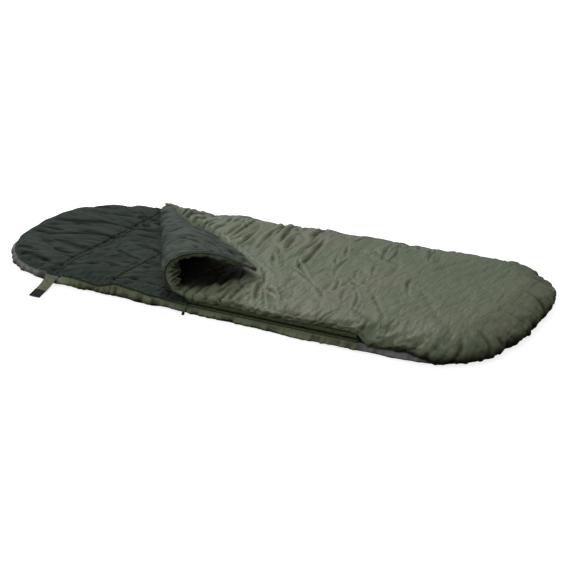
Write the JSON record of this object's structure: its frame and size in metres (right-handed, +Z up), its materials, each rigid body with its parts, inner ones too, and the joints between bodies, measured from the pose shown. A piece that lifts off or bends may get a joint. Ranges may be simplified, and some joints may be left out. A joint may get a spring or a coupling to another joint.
{
  "type": "bivvy sleeping bag",
  "caption": "Padded bivvy sleeping bag lying flat, rounded at the head and squarer at the foot, its side zip partly open and one corner of the cover folded back.",
  "frame": {"origin": "bottom centre of the overall box, on the ground", "axes": "+X from the head end to the foot end, +Y towards the side without the zip, +Z up"},
  "size_m": [2.15, 0.9901, 0.2082],
  "materials": {
    "shell_olive": "satin woven nylon",
    "base_grey": "matt coated woven cloth",
    "lining_slate": "brushed fleece",
    "batting": "hollow fibre wadding, hidden",
    "zip_tape": "matt woven tape",
    "zip_coil": "satin nylon coil",
    "piping": "matt cord",
    "webbing": "matt woven webbing",
    "hook_tape": "matt hook and loop pile",
    "slider_metal": "dark satin",
    "rubber": "matt moulded"
  },
  "bodies": {
    "bag": {"base_shell": "base_grey", "base_batting": "batting", "base_lining_head": "lining_slate", "base_lining_body": "lining_slate", "lining_seam_strip": "lining_slate", "near_side_band": "shell_olive", "far_gusset": "shell_olive", "foot_gusset": "shell_olive", "far_corner_bartack": "hook_tape", "cover_shell": "shell_olive", "cover_batting": "batting", "cover_lining": "lining_slate", "roll_shell": "shell_olive", "roll_batting": "batting", "roll_lining": "lining_slate", "roll_zip_tape": "zip_tape", "roll_zip_coil": "zip_coil", "roll_piping": "piping", "lower_zip_tape": "zip_tape", "lower_zip_coil": "zip_coil", "lower_piping": "piping", "upper_zip_tape": "zip_tape", "upper_zip_coil": "zip_coil", "zip_end_stop": "zip_coil", "zip_top_stop": "zip_coil"},
    "slider": {"slider_body": "slider_metal", "slider_bail": "slider_metal"},
    "puller": {"pull_ring": "slider_metal", "pull_webbing": "webbing", "pull_tip": "rubber"},
    "tab": {"tab_strap": "webbing", "tab_hook_patch": "hook_tape"},
    "flap": {"flap_shell": "shell_olive", "flap_batting": "batting", "flap_lining": "lining_slate", "flap_head_binding": "webbing", "flap_zip_tape": "zip_tape", "flap_zip_coil": "zip_coil", "flap_piping": "piping", "flap_loop_patch": "hook_tape"}
  },
  "joints": [
    {"name": "slider_travel", "type": "slide", "parent": "bag", "child": "slider", "axis": [1, 0, 0], "range_m": [0, 0.68]},
    {"name": "puller_swing", "type": "hinge", "parent": "slider", "child": "puller", "pos_m": [-0.069, -0.35615, 0.04], "axis": [-1, 0, 0], "range_deg": [0, 100]},
    {"name": "tab_lift", "type": "hinge", "parent": "bag", "child": "tab", "pos_m": [-0.68, -0.34495, 0.0305], "axis": [-1, 0, 0], "range_deg": [0, 150]},
    {"name": "flap_lift", "type": "hinge", "parent": "bag", "child": "flap", "pos_m": [-0.41723, 0.0764, 0.14709], "axis": [0.6199, -0.7778, 0.1037], "range_deg": [0, 100]}
  ]
}
